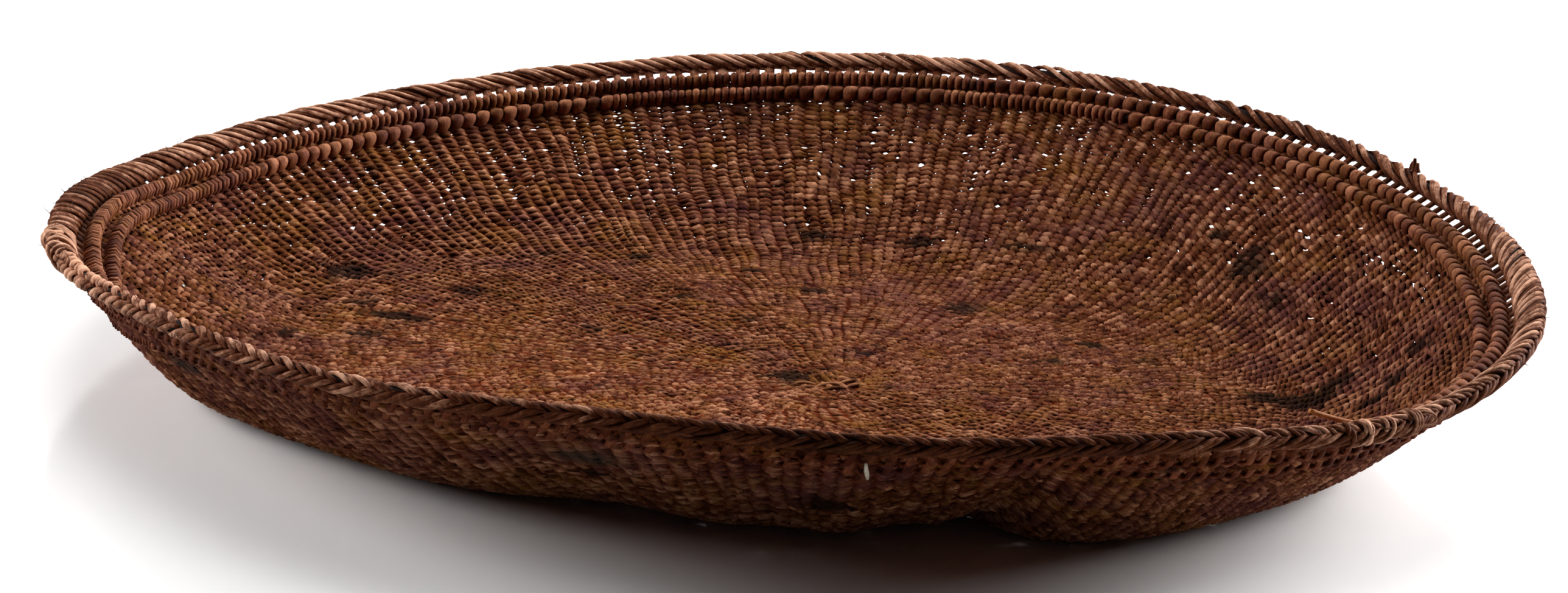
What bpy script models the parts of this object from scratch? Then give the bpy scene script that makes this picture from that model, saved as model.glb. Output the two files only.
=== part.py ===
"""A shallow twined basket tray: woven floor and wall, a band of bare warps with two lashed hoops, and a plaited rim.

Metres, +Z up. The floor lies on z = 0 and the origin is under the middle of the rim's outline.
The weave is one cloth on the real tray. Here it is cut into bands where warps are added, each its own solid.
"""
import math

import bmesh
import bpy
from mathutils import Vector

MM = 0.001

# Rim, from above: mean radius, and how far the real outline is out of round every 20 degrees from +X
RIM_RADIUS = 276 * MM
RIM_OUT_OF_ROUND = [v * MM for v in (1, 3, 4, 2, 0, 1, 0, -2, -5, -8, -6, -3, 6, 2, -2, -2, 1, 5)]

# Rim, from the side: mean height of the plait's middle, and how the rim rises and dips every 20 degrees
RIM_HEIGHT = 57 * MM
RIM_WAVE = [v * MM for v in (6, 7, 11, 13, 10, 2, -7, -14, -16, -9, -6, -1, 1, 4, 1, 0, -6, 1)]

# Wall: how far the slope reaches in from the rim, its unevenness, and its steepness where it meets the rim
WALL_REACH = 102 * MM
WALL_UNEVEN = [v * MM for v in (-9, 18, 30, 37, 15, 7, -5, -20, -28, -13, -49, -30, -3, 33, 24, -22, -22, -20)]
LIP_STEEPNESS = 1.1

# Dents and bulges of the wall's foot: angle in degrees, half width in degrees, distance outwards
WALL_DENTS = ((264, 10, 32 * MM), (276, 6, 23 * MM), (290.6, 3, -26 * MM))

# The middle of the weave lies off the middle of the rim
START_OFFSET = Vector((22 * MM, -15 * MM, 0))
WEAVE_THICKNESS = 4.2 * MM
WALL_RIB_HEIGHT = 1.3 * MM
START_KNOT_RADIUS = 18 * MM
START_KNOT_CROWN = 1.2 * MM
WEFT_BANDS = ("floor_weft_inner", "floor_weft_outer", "wall_weft_lower", "wall_weft_upper")

# Openwork below the rim, as distances in from the rim's middle seen from above
UPPER_HOOP_IN = 11.5 * MM
LOWER_HOOP_IN = 18.4 * MM
WALL_TOP_IN = 23.5 * MM
HOOP_DIAMETER = 4.8 * MM
LASHING_THICKNESS = 2.8 * MM
WARP_THICKNESS = 1.6 * MM
BARE_WARP_WIDTH = 3.4 * MM
BARE_WARP_HEEL = 1 * MM
RIM_PLAIT_DIAMETER = 7.2 * MM

# Small pieces: a pale mending stitch, a tie where the plait was spliced, its loose end, and a stray warp tip
MEND_STITCH_ANGLE = 276.5
MEND_STITCH_WIDTH = 1.6 * MM
MEND_STITCH_THICKNESS = 0.9 * MM
RIM_TIE_ANGLE = 319
RIM_TIE_WIDTH = 5 * MM
RIM_TIE_THICKNESS = 1.3 * MM
SPLICE_END_LENGTH = 15 * MM
SPLICE_END_DIAMETER = 1.8 * MM
STRAY_TIP_ANGLE = 27
STRAY_TIP_HEIGHT = 5 * MM
STRAY_TIP_DIAMETER = 1.8 * MM

GAP = 0.3 * MM
WARPS_SHOWN = 96
FLOOR_STEPS = 44
TURN = 2 * math.pi


def clear_scene():
    for thing in list(bpy.data.objects):
        bpy.data.objects.remove(thing, do_unlink=True)


def srgb(value):
    """One sRGB hex colour as linear values."""
    channels = [int(value[i : i + 2], 16) / 255 for i in (0, 2, 4)]
    linear = [c / 12.92 if c <= 0.04045 else ((c + 0.055) / 1.055) ** 2.4 for c in channels]
    return (*linear, 1.0)


def finish(name, colour, roughness):
    """A plain dry plant fibre finish in one colour."""
    material = bpy.data.materials.new(name)
    material.use_nodes = True
    shader = material.node_tree.nodes["Principled BSDF"]
    shader.inputs["Base Color"].default_value = srgb(colour)
    shader.inputs["Roughness"].default_value = roughness
    shader.inputs["Metallic"].default_value = 0.0
    return material


def around(angle, stations):
    """Smooth value between stations that are spread evenly round a circle."""
    count = len(stations)
    place = (angle / TURN * count) % count
    first = math.floor(place)
    share = place - first
    before, here, after, beyond = (stations[(first + step) % count] for step in (-1, 0, 1, 2))
    bend = 2 * before - 5 * here + 4 * after - beyond + share * (3 * (here - after) + beyond - before)
    return here + 0.5 * share * (after - before + share * bend)


def rim_radius(angle):
    return RIM_RADIUS + around(angle, RIM_OUT_OF_ROUND)


def wall_foot(angle):
    """Radius at which the floor turns up into the wall."""
    foot = rim_radius(angle) - WALL_REACH - around(angle, WALL_UNEVEN)
    for middle, half_width, outwards in WALL_DENTS:
        away = (math.degrees(angle) - middle + 180) % 360 - 180
        foot += outwards * math.exp(-((away / half_width) ** 2))
    return foot


def uncentred(share, angle):
    """Middle of the weave at a share of the way from its start to the rim, measured from the rim circle's middle."""
    radius = rim_radius(angle)
    foot_share = wall_foot(angle) / radius
    climb = min(max((share - foot_share) / (1 - foot_share), 0), 1)
    rise = (3 - LIP_STEEPNESS) * climb**2 + (LIP_STEEPNESS - 2) * climb**3
    base = WEAVE_THICKNESS / 2
    height = base + (RIM_HEIGHT + around(angle, RIM_WAVE) - base) * rise
    plan = Vector((math.cos(angle), math.sin(angle), 0)) * radius * share + START_OFFSET * (1 - share)
    return plan + Vector((0, 0, height))


def middle_of_outline():
    rim = [uncentred(1, TURN * i / 720) for i in range(720)]
    return Vector([(min(p[axis] for p in rim) + max(p[axis] for p in rim)) / 2 for axis in (0, 1)] + [0])


OUTLINE_MIDDLE = middle_of_outline()


def tray_frame(share, angle):
    """Point on the middle of the weave, with unit vectors outwards along it, up out of it and along the round."""
    step = 0.002
    inner, outer = share - step, share + step
    if share > 1 - step:
        inner, outer = 1 - 2 * step, 1
    out = (uncentred(outer, angle) - uncentred(inner, angle)).normalized()
    along = (uncentred(share, angle + step) - uncentred(share, angle - step)).normalized()
    return uncentred(share, angle) - OUTLINE_MIDDLE, out, out.cross(along).normalized(), along


def on_tray(share, angle, lift):
    point, _, up, _ = tray_frame(share, angle)
    return point + up * lift


def share_in_from_rim(distance):
    return 1 - distance / RIM_RADIUS


def link(name, bm, material):
    bmesh.ops.recalc_face_normals(bm, faces=bm.faces)
    mesh = bpy.data.meshes.new(name)
    bm.to_mesh(mesh)
    bm.free()
    mesh.materials.append(material)
    mesh.shade_smooth()
    mesh.set_sharp_from_angle(angle=math.radians(50))
    thing = bpy.data.objects.new(name, mesh)
    bpy.context.scene.collection.objects.link(thing)
    return thing


def ring_mesh(sections):
    """Closed ring through cross-sections that all have the same number of corners. Returns the mesh and its faces."""
    bm = bmesh.new()
    corners = [[bm.verts.new(point) for point in section] for section in sections]
    faces = []
    for here, after in zip(corners, corners[1:] + corners[:1]):
        pairs = zip(here, here[1:] + here[:1], after[1:] + after[:1], after)
        faces.append([bm.faces.new(quad) for quad in pairs])
    return bm, faces


def round_section(share, angle, lift, corners, turn=0.5):
    """Regular polygon across the rim's direction, turned by a part of one side."""
    point, out, up, _ = tray_frame(share, angle)
    centre = point + up * lift[0]
    turns = [TURN * (i + turn) / corners for i in range(corners)]
    return [centre + (out * math.cos(t) + up * math.sin(t)) * lift[1] for t in turns]


def weft_band(name, inner_radius, outer_radius, steps, rows, rib_height, material):
    """One band of the weave, as a closed shell. Ribs stand on both sides of every second step, over a warp."""
    shares = [(inner_radius + (outer_radius - inner_radius) * i / rows) / RIM_RADIUS for i in range(rows + 1)]
    sections = []
    for i in range(steps):
        angle = TURN * i / steps
        lift = WEAVE_THICKNESS / 2 - rib_height * (i % 2)
        top = [on_tray(share, angle, lift) for share in shares]
        under = [on_tray(share, angle, -lift) for share in reversed(shares)]
        sections.append(top + under)
    return link(name, ring_mesh(sections)[0], material)


def make_weft(material):
    """The bands from the start knot to the wall's top edge, all equally wide. The wall's ribs end at the bare warps."""
    first = START_KNOT_RADIUS
    width = (RIM_RADIUS - WALL_TOP_IN - first) / len(WEFT_BANDS)
    for index, name in enumerate(WEFT_BANDS):
        on_floor = name.startswith("floor")
        inner = first + width * index + GAP / 2
        outer = first + width * (index + 1) - GAP / 2
        if on_floor:
            weft_band(name, inner, outer, FLOOR_STEPS, 1, 0, material)
        else:
            weft_band(name, inner, outer, 2 * WARPS_SHOWN, 4, WALL_RIB_HEIGHT, material)


def make_start_knot(material):
    """Low crowned disc where the first warps cross."""
    bm = bmesh.new()
    edge_share = (START_KNOT_RADIUS - GAP / 2) / RIM_RADIUS
    steps = FLOOR_STEPS // 2
    rings = ((edge_share, -WEAVE_THICKNESS / 2), (edge_share, WEAVE_THICKNESS / 2),
             (edge_share / 2, WEAVE_THICKNESS / 2 + START_KNOT_CROWN))
    loops = [[bm.verts.new(on_tray(share, TURN * i / steps, lift)) for i in range(steps)] for share, lift in rings]
    for lower, upper in zip(loops, loops[1:]):
        for quad in zip(lower, lower[1:] + lower[:1], upper[1:] + upper[:1], upper):
            bm.faces.new(quad)
    bm.faces.new(loops[0])
    bm.faces.new(loops[-1])
    return link("start_knot", bm, material)


def make_hoop(name, distance_in, material):
    """Rod with its wrapping, on the inner side of the warps."""
    lift = WARP_THICKNESS / 2 + GAP + HOOP_DIAMETER / 2
    share = share_in_from_rim(distance_in)
    angles = [TURN * i / WARPS_SHOWN for i in range(WARPS_SHOWN)]
    sections = [round_section(share, angle, (lift, HOOP_DIAMETER / 2), 8) for angle in angles]
    return link(name, ring_mesh(sections)[0], material)


def make_lashing(name, distance_in, material):
    """The strand that binds a hoop, where it runs round the outer side of the warps."""
    lift = -(WARP_THICKNESS / 2 + GAP + LASHING_THICKNESS / 2)
    share = share_in_from_rim(distance_in)
    angles = [TURN * i / WARPS_SHOWN for i in range(WARPS_SHOWN)]
    sections = [round_section(share, angle, (lift, LASHING_THICKNESS / 2), 6) for angle in angles]
    return link(name, ring_mesh(sections)[0], material)


def make_bare_warps(material):
    """The warps between the wall and the plait, one bar in a few of them, joined by a heel at each end."""
    wall_edge = WALL_TOP_IN - GAP
    plait_edge = RIM_PLAIT_DIAMETER / 2 + GAP
    distances = (wall_edge, wall_edge - BARE_WARP_HEEL, (wall_edge + plait_edge) / 2,
                 plait_edge + BARE_WARP_HEEL, plait_edge)
    shares = [share_in_from_rim(distance) for distance in distances]
    half_bar = BARE_WARP_WIDTH / 2 / RIM_RADIUS
    angles = [TURN * i / WARPS_SHOWN + side * half_bar for i in range(WARPS_SHOWN) for side in (-1, 1)]
    bm = bmesh.new()
    columns = []
    for angle in angles:
        lifts = (-WARP_THICKNESS / 2, WARP_THICKNESS / 2)
        columns.append([[bm.verts.new(on_tray(share, angle, lift)) for share in shares] for lift in lifts])
    rows = len(shares) - 1
    for index, (here, after) in enumerate(zip(columns, columns[1:] + columns[:1])):
        on_bar = index % 2 == 0
        under_tie = index // 2 == rim_tie_place()
        strips = range(rows) if on_bar else (0,) if under_tie else (0, rows - 1)
        edges = (0, rows) if on_bar else (0, 1) if under_tie else (0, 1, rows - 1, rows)
        for row in strips:
            for side in (0, 1):
                bm.faces.new((here[side][row], after[side][row], after[side][row + 1], here[side][row + 1]))
        for row in edges:
            bm.faces.new((here[0][row], after[0][row], after[1][row], here[1][row]))
        for row in range(rows):
            if row not in strips:
                for edge in (here, after):
                    bm.faces.new((edge[0][row], edge[0][row + 1], edge[1][row + 1], edge[1][row]))
    return link("bare_warps", bm, material)


def make_rim_plait(material):
    """The warps' ends, bent over and plaited into a roll along the edge."""
    angles = [TURN * i / WARPS_SHOWN for i in range(WARPS_SHOWN)]
    sections = [round_section(1, angle, (0, RIM_PLAIT_DIAMETER / 2), 10) for angle in angles]
    return link("rim_plait", ring_mesh(sections)[0], material)


def make_mend_stitch(material):
    """Pale thread across both lashings, on the outer side."""
    angle = math.radians(MEND_STITCH_ANGLE)
    half_turn = MEND_STITCH_WIDTH / 2 / RIM_RADIUS
    near = -(WARP_THICKNESS / 2 + 2 * GAP + LASHING_THICKNESS)
    far = near - MEND_STITCH_THICKNESS
    reach = LASHING_THICKNESS / 2
    ends = [share_in_from_rim(UPPER_HOOP_IN - reach), share_in_from_rim(LOWER_HOOP_IN + reach)]
    bm = bmesh.new()
    bmesh.ops.create_cube(bm, size=1)
    for vert in bm.verts:
        share = ends[0] if vert.co.x > 0 else ends[1]
        lift = near if vert.co.z > 0 else far
        vert.co = on_tray(share, angle + half_turn * (1 if vert.co.y > 0 else -1), lift)
    return link("mend_stitch", bm, material)


def make_rim_tie(material):
    """Strand wound round the plait where it was spliced."""
    inner = RIM_PLAIT_DIAMETER / 2 + GAP
    outer = inner + RIM_TIE_THICKNESS
    middle = rim_tie_angle()
    half_turn = RIM_TIE_WIDTH / 2 / RIM_RADIUS
    sections = []
    for step in range(16):
        turn = TURN * step / 16
        section = []
        for side, radius in ((-1, inner), (-1, outer), (1, outer), (1, inner)):
            point, out, up, _ = tray_frame(1, middle + side * half_turn)
            section.append(point + (out * math.cos(turn) + up * math.sin(turn)) * radius)
        sections.append(section)
    return link("rim_tie", ring_mesh(sections)[0], material)


def rim_tie_place():
    return math.floor(RIM_TIE_ANGLE / 360 * WARPS_SHOWN)


def rim_tie_angle():
    """The tie sits midway between two bare warps."""
    return TURN * (rim_tie_place() + 0.5) / WARPS_SHOWN


def strand(name, points, diameter, material):
    """Short tapered strand through a few points, with closed ends."""
    curve = bpy.data.curves.new(name, "CURVE")
    curve.dimensions = "3D"
    curve.bevel_depth = diameter / 2
    curve.bevel_resolution = 1
    curve.use_fill_caps = True
    spline = curve.splines.new("POLY")
    spline.points.add(len(points) - 1)
    for place, point in enumerate(points):
        spline.points[place].co = (*point, 1)
        spline.points[place].radius = 1 - 0.5 * place / (len(points) - 1)
    curve.materials.append(material)
    thing = bpy.data.objects.new(name, curve)
    bpy.context.scene.collection.objects.link(thing)
    return thing


def make_splice_end(material):
    """Loose end that leaves the tie and lies along the inner side of the plait."""
    away = RIM_PLAIT_DIAMETER / 2 + GAP + SPLICE_END_DIAMETER / 2
    start = rim_tie_angle() - (RIM_TIE_WIDTH / 2 + GAP + SPLICE_END_DIAMETER / 4) / RIM_RADIUS
    points = []
    for step in range(7):
        point, out, up, _ = tray_frame(1, start - SPLICE_END_LENGTH * step / 6 / RIM_RADIUS)
        turn = math.radians(60 + 10 * step)
        points.append(point + (up * math.sin(turn) - out * math.cos(turn)) * away)
    return strand("splice_end", points, SPLICE_END_DIAMETER, material)


def make_stray_tip(material):
    """Cut warp tip that stands up out of the plait."""
    point, out, up, along = tray_frame(1, math.radians(STRAY_TIP_ANGLE))
    foot = point + (up + out).normalized() * (RIM_PLAIT_DIAMETER / 2 + GAP + STRAY_TIP_DIAMETER / 4)
    lean = Vector((0, 0, 1)) + along * 0.3
    points = [foot + lean * STRAY_TIP_HEIGHT * step / 3 for step in range(4)]
    return strand("stray_tip", points, STRAY_TIP_DIAMETER, material)


def build():
    clear_scene()
    make_start_knot(finish("start_knot_fibre", "6E4A2C", 0.75))
    make_weft(finish("twined_weft_fibre", "6B4027", 0.72))
    make_hoop("lower_hoop", LOWER_HOOP_IN, finish("lower_hoop_wrapping", "7A4A2E", 0.6))
    make_hoop("upper_hoop", UPPER_HOOP_IN, finish("upper_hoop_wrapping", "7E4E31", 0.6))
    make_lashing("lower_lashing", LOWER_HOOP_IN, finish("lower_lashing_strand", "55311E", 0.68))
    make_lashing("upper_lashing", UPPER_HOOP_IN, finish("upper_lashing_strand", "593420", 0.68))
    make_bare_warps(finish("bare_warp_fibre", "6A4730", 0.65))
    make_rim_plait(finish("plaited_warp_ends", "8A6048", 0.58))
    make_mend_stitch(finish("pale_mending_thread", "D8CDB8", 0.7))
    make_rim_tie(finish("splice_binding", "7C543A", 0.6))
    make_splice_end(finish("splice_strand", "A06838", 0.6))
    make_stray_tip(finish("stray_warp", "5A3A26", 0.7))


build()
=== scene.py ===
"""Looks of a large shallow twined tray, strand by strand: weft rows, hoops, bare warps and plaited rim."""
import math

import bpy
import numpy as np
from mathutils import Matrix


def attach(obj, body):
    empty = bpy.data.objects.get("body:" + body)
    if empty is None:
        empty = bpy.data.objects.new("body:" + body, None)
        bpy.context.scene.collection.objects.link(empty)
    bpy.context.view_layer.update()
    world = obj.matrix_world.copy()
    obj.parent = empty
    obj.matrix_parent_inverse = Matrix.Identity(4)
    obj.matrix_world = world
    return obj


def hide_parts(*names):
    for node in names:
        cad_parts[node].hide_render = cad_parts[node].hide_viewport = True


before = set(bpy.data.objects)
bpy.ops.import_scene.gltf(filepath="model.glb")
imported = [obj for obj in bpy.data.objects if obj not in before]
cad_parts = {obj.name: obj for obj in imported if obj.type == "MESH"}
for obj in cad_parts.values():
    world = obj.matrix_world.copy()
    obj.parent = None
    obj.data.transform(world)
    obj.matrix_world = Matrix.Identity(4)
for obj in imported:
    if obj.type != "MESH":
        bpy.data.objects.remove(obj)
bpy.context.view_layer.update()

MM = 0.001
TURN = 2 * math.pi
DRAW = np.random.default_rng(41)

# The tray's form, repeated from its construction: every list has a value each 20 degrees from +X
RIM_RADIUS = 276 * MM
RIM_OUT_OF_ROUND = np.array((1, 3, 4, 2, 0, 1, 0, -2, -5, -8, -6, -3, 6, 2, -2, -2, 1, 5)) * MM
RIM_HEIGHT = 57 * MM
RIM_WAVE = np.array((6, 7, 11, 13, 10, 2, -7, -14, -16, -9, -6, -1, 1, 4, 1, 0, -6, 1)) * MM
WALL_REACH = 102 * MM
WALL_UNEVEN = np.array((-9, 18, 30, 37, 15, 7, -5, -20, -28, -13, -49, -30, -3, 33, 24, -22, -22, -20)) * MM
LIP_STEEPNESS = 1.1
WALL_DENTS = ((264, 10, 32 * MM), (276, 6, 23 * MM), (290.6, 3, -26 * MM))
START_OFFSET = np.array((22 * MM, -15 * MM, 0))
WEAVE_THICKNESS = 4.2 * MM
START_KNOT_RADIUS = 18 * MM
UPPER_HOOP_IN = 11.5 * MM
LOWER_HOOP_IN = 18.4 * MM
WALL_TOP_IN = 23.5 * MM
HOOP_DIAMETER = 4.8 * MM
WARP_THICKNESS = 1.6 * MM
RIM_PLAIT_DIAMETER = 7.2 * MM
MEND_STITCH_ANGLE = 276.5
RIM_TIE_ANGLE = 319
LOOSE_END_LENGTH = 41 * MM
STRAY_TIP_ANGLE = 27
GAP = 0.3 * MM
# The tie lies over the middle of one of the openings between the solids' bare warps
SOLID_BARE_WARPS = 96
RIM_TIE_MIDDLE = TURN * (math.floor(RIM_TIE_ANGLE / 360 * SOLID_BARE_WARPS) + 0.5) / SOLID_BARE_WARPS

# Warps at the rim, and weft row spacing at shares of the way to it
WARPS = 256
WARP_PITCH = TURN / WARPS
ROW_PITCH = ((0, 0.45, 0.75), (3.2 * MM, 3.0 * MM, 2.65 * MM))

# A weft strand: how far it rises over a warp and turns about its partner, its half thickness, and its half
# width as a share of the row spacing
STEPS_PER_STITCH = 4
WEFT_RISE = 1.2 * MM
WEFT_TWIST = 1.05 * MM
WEFT_HALF_THICK = 0.68 * MM
WEFT_HALF_WIDE = 0.56

# A warp inside the weave, and a bare one
WARP_HALF_THICK = 0.6 * MM
WARP_HALF_WIDE = 1.4 * MM
BARE_WARP_HALF_THICK = 0.8 * MM

# How far a hoop's wrapping reaches to either side, and how many broken fibres stand off the tray
WRAP_REACH = 2.45 * MM
BROKEN_FIBRES = 300

# Tar, soot and worn spots: share of the way to the rim, degrees, half length and half depth in mm, strength
STAINS = (
    (0.74, 151, 13, 9, 1.2), (0.66, 161, 9, 9, 0.9), (0.60, 165, 8, 14, 1.1), (0.61, 175, 8, 9, 1.0),
    (0.71, 179, 9, 4, 0.9), (0.80, 173, 5, 5, 0.8), (0.57, 147, 9, 8, 0.9), (0.62, 113, 8, 7, 0.9),
    (0.55, 98, 5, 4, 1.0), (0.46, 89, 7, 5, 1.0), (0.69, 88, 7, 5, 1.0), (0.68, 75, 11, 5, 1.0),
    (0.48, 62, 10, 12, 1.0), (0.68, 60, 13, 3, 0.9), (0.06, 159, 11, 10, 1.0), (0.17, 69, 5, 5, 0.9),
    (0.38, 28, 8, 8, 0.7), (0.48, 34, 7, 4, 1.1), (0.20, 161, 6, 5, 0.8), (0.42, 117, 5, 5, 0.8),
    (0.78, 33, 12, 13, 0.9), (0.75, 26, 9, 8, 0.8), (0.80, 40, 7, 6, 0.8), (0.70, 2, 8, 11, 1.6),
    (0.645, 4.5, 8, 8, 1.1), (0.755, 3.5, 5, 9, 1.3), (0.82, 357, 7, 8, 0.9), (0.86, 0, 8, 6, 0.9),
    (0.52, 23, 8, 7, 0.7), (0.79, 355, 6, 7, 0.9), (0.30, 108, 8, 6, 0.8), (0.36, 150, 8, 6, 0.8),
    (0.66, 125, 9, 5, 0.8), (0.90, 216, 9, 6, 1.0), (0.83, 255, 9, 7, 1.0), (0.83, 275, 13, 8, 1.2))

# Ochre and mauve areas, in the same way
OCHRE_PATCHES = (
    (0.82, 26.5, 22, 7, 1.3), (0.65, 31, 16, 9, 1.2), (0.46, 165, 34, 22, 1.0), (0.63, 168, 16, 12, 0.8),
    (0.91, 130, 14, 8, 1.0), (0.17, 151, 20, 14, 1.0), (0.9, 90, 22, 9, 0.7), (0.35, 230, 60, 30, 0.8))
MAUVE_PATCHES = (
    (0.75, 95, 32, 10, 1.2), (0.78, 17, 34, 34, 1.1), (0.84, 40, 44, 18, 0.9), (0.82, 0, 36, 26, 1.2),
    (0.42, 55, 46, 26, 0.7), (0.9, 222, 55, 22, 1.5), (0.9, 205, 40, 30, 1.3), (0.84, 240, 30, 16, 0.8),
    (0.85, 320, 60, 30, 0.9), (0.75, 340, 60, 30, 0.8))

# Greenish grey patches on the outer side
GREEN_STAINS = (
    (0.91, 215.5, 11, 7, 1.5), (0.87, 255.5, 13, 9, 1.2), (0.84, 277, 9, 6, 0.9), (0.93, 300, 8, 5, 0.6))


def around(angle, stations):
    """Smooth value between stations that are spread evenly round a circle."""
    count = len(stations)
    place = (angle / TURN * count) % count
    first = np.floor(place).astype(int)
    share = place - first
    before, here, after, beyond = (stations[(first + step) % count] for step in (-1, 0, 1, 2))
    bend = 2 * before - 5 * here + 4 * after - beyond + share * (3 * (here - after) + beyond - before)
    return here + 0.5 * share * (after - before + share * bend)


def near(angle, middle, half_width):
    """1 at a place round the tray, falling smoothly to 0 away from it, in degrees."""
    away = (np.degrees(angle) - middle + 180) % 360 - 180
    return np.exp(-((away / half_width) ** 2))


def wall_foot(angle):
    """Radius at which the floor turns up into the wall."""
    foot = RIM_RADIUS + around(angle, RIM_OUT_OF_ROUND) - WALL_REACH - around(angle, WALL_UNEVEN)
    for middle, half_width, outwards in WALL_DENTS:
        foot = foot + outwards * near(angle, middle, half_width)
    return foot


def uncentred(share, angle):
    """Middle of the weave at a share of the way from its start to the rim, from the rim circle's middle."""
    radius = RIM_RADIUS + around(angle, RIM_OUT_OF_ROUND)
    foot_share = wall_foot(angle) / radius
    climb = np.clip((share - foot_share) / (1 - foot_share), 0, 1)
    rise = (3 - LIP_STEEPNESS) * climb**2 + (LIP_STEEPNESS - 2) * climb**3
    base = WEAVE_THICKNESS / 2
    height = base + (RIM_HEIGHT + around(angle, RIM_WAVE) - base) * rise
    flat = radius * share
    shift = START_OFFSET * (1 - share)[..., None]
    return np.stack((np.cos(angle) * flat, np.sin(angle) * flat, height), -1) + shift


def unit(vectors):
    return vectors / np.linalg.norm(vectors, axis=-1, keepdims=True)


RIM_SAMPLES = uncentred(np.ones(720), TURN * np.arange(720) / 720)
OUTLINE_MIDDLE = np.append((RIM_SAMPLES.min(0) + RIM_SAMPLES.max(0))[:2] / 2, 0)


def tray(share, angle):
    """Points on the middle of the weave, and unit vectors outwards, up out of it and along the round."""
    share, angle = np.broadcast_arrays(share, angle)
    step = 0.002
    inner = np.minimum(share - step, 1 - 2 * step)
    out = unit(uncentred(inner + 2 * step, angle) - uncentred(inner, angle))
    along = unit(uncentred(share, angle + step) - uncentred(share, angle - step))
    up = unit(np.cross(out, along))
    return uncentred(share, angle) - OUTLINE_MIDDLE, out, up, along


def tray_at(share, angle):
    """The same for a single place."""
    return [values[0] for values in tray([share], [angle])]


def share_in_from_rim(distance):
    return 1 - distance / RIM_RADIUS


def smooth_noise(angle, waves, count=9):
    """Sum of a few sine waves round the circle, between about -1 and 1."""
    total = 0
    for _ in range(count):
        total = total + np.sin(DRAW.integers(waves[0], waves[1] + 1) * angle + DRAW.uniform(0, TURN))
    return total / math.sqrt(count) * 0.8


def stain_at(points, marks):
    """How dark a stain lies on points of the weave."""
    total = np.zeros(len(points))
    for share, degrees, length, depth, strength in marks:
        middle, out, _, along = tray_at(share, math.radians(degrees))
        away = points - middle
        far = (away @ along / (length * MM)) ** 2 + (away @ out / (depth * MM)) ** 2
        total = np.maximum(total, strength * np.exp(-far))
    return total


def run(centres, thick, half_thick, half_wide, closed=False, **values):
    """One strand: centre line, the direction of its thin side, and its half sizes at each point."""
    ahead = np.roll(centres, -1, 0) - centres
    behind = centres - np.roll(centres, 1, 0)
    if not closed:
        ahead[-1] = behind[-1]
        behind[0] = ahead[0]
    length = np.append(0, np.cumsum(np.linalg.norm(ahead, axis=1)))
    forward = unit(ahead + behind)
    thick = unit(thick - forward * (thick * forward).sum(-1, keepdims=True))
    wide = np.cross(forward, thick)
    half_thick, half_wide = (np.broadcast_to(half, len(centres)) for half in (half_thick, half_wide))
    values = {key: np.broadcast_to(value, len(centres)) for key, value in values.items()}
    return {"centres": centres, "thick": thick, "wide": wide, "half_thick": half_thick,
            "half_wide": half_wide, "closed": closed, "length": length, "values": values}


def strand_faces(starts, counts, closed, sides):
    """The points with another after them on their strand, the faces from each to the next, and end caps."""
    following = np.arange(counts.sum()) + 1
    ends = starts + counts - 1
    following[ends] = np.where(closed, starts, -1)
    here = np.flatnonzero(following >= 0)
    after = following[here]
    side = np.arange(sides)
    after_side = (side + 1) % sides
    corners = [here[:, None] * sides + side, here[:, None] * sides + after_side,
               after[:, None] * sides + after_side, after[:, None] * sides + side]
    caps = [ring for start, end, shut in zip(starts, ends, closed) if not shut
            for ring in (start * sides + side[::-1], end * sides + side)]
    return here, np.stack(corners, -1).reshape(-1, 4), caps


def strand_maps(runs, here, counts, girth, sides, columns):
    """A map in real length and girth, and one for baking, where each strand has its own cell."""
    length = np.concatenate([r["length"][:-1] for r in runs])
    length_after = np.concatenate([r["length"][1:] for r in runs])
    whole = np.repeat([r["length"][-1] for r in runs], counts)[here][:, None, None]
    index = np.repeat(np.arange(len(runs)), counts)[here][:, None, None]
    lines = math.ceil(len(runs) / columns)
    side = np.arange(sides)

    def laid(values):
        return np.broadcast_to(values, (len(here), sides))[..., None]

    begin = laid(length[here][:, None])
    end = laid(length_after[here][:, None])
    low = laid(side[None] / sides)
    high = laid((side[None] + 1) / sides)
    along = np.concatenate((begin, begin, end, end), -1)
    round_it = np.concatenate((low, high, high, low), -1)
    fibre = np.stack((along, round_it * girth[here][:, None, None]), -1)
    bake = np.stack(((index % columns + along / whole) / columns, (index // columns + round_it) / lines), -1)
    return {"strand": fibre.reshape(-1, 2), "OFBake": bake.reshape(-1, 2)}


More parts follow.
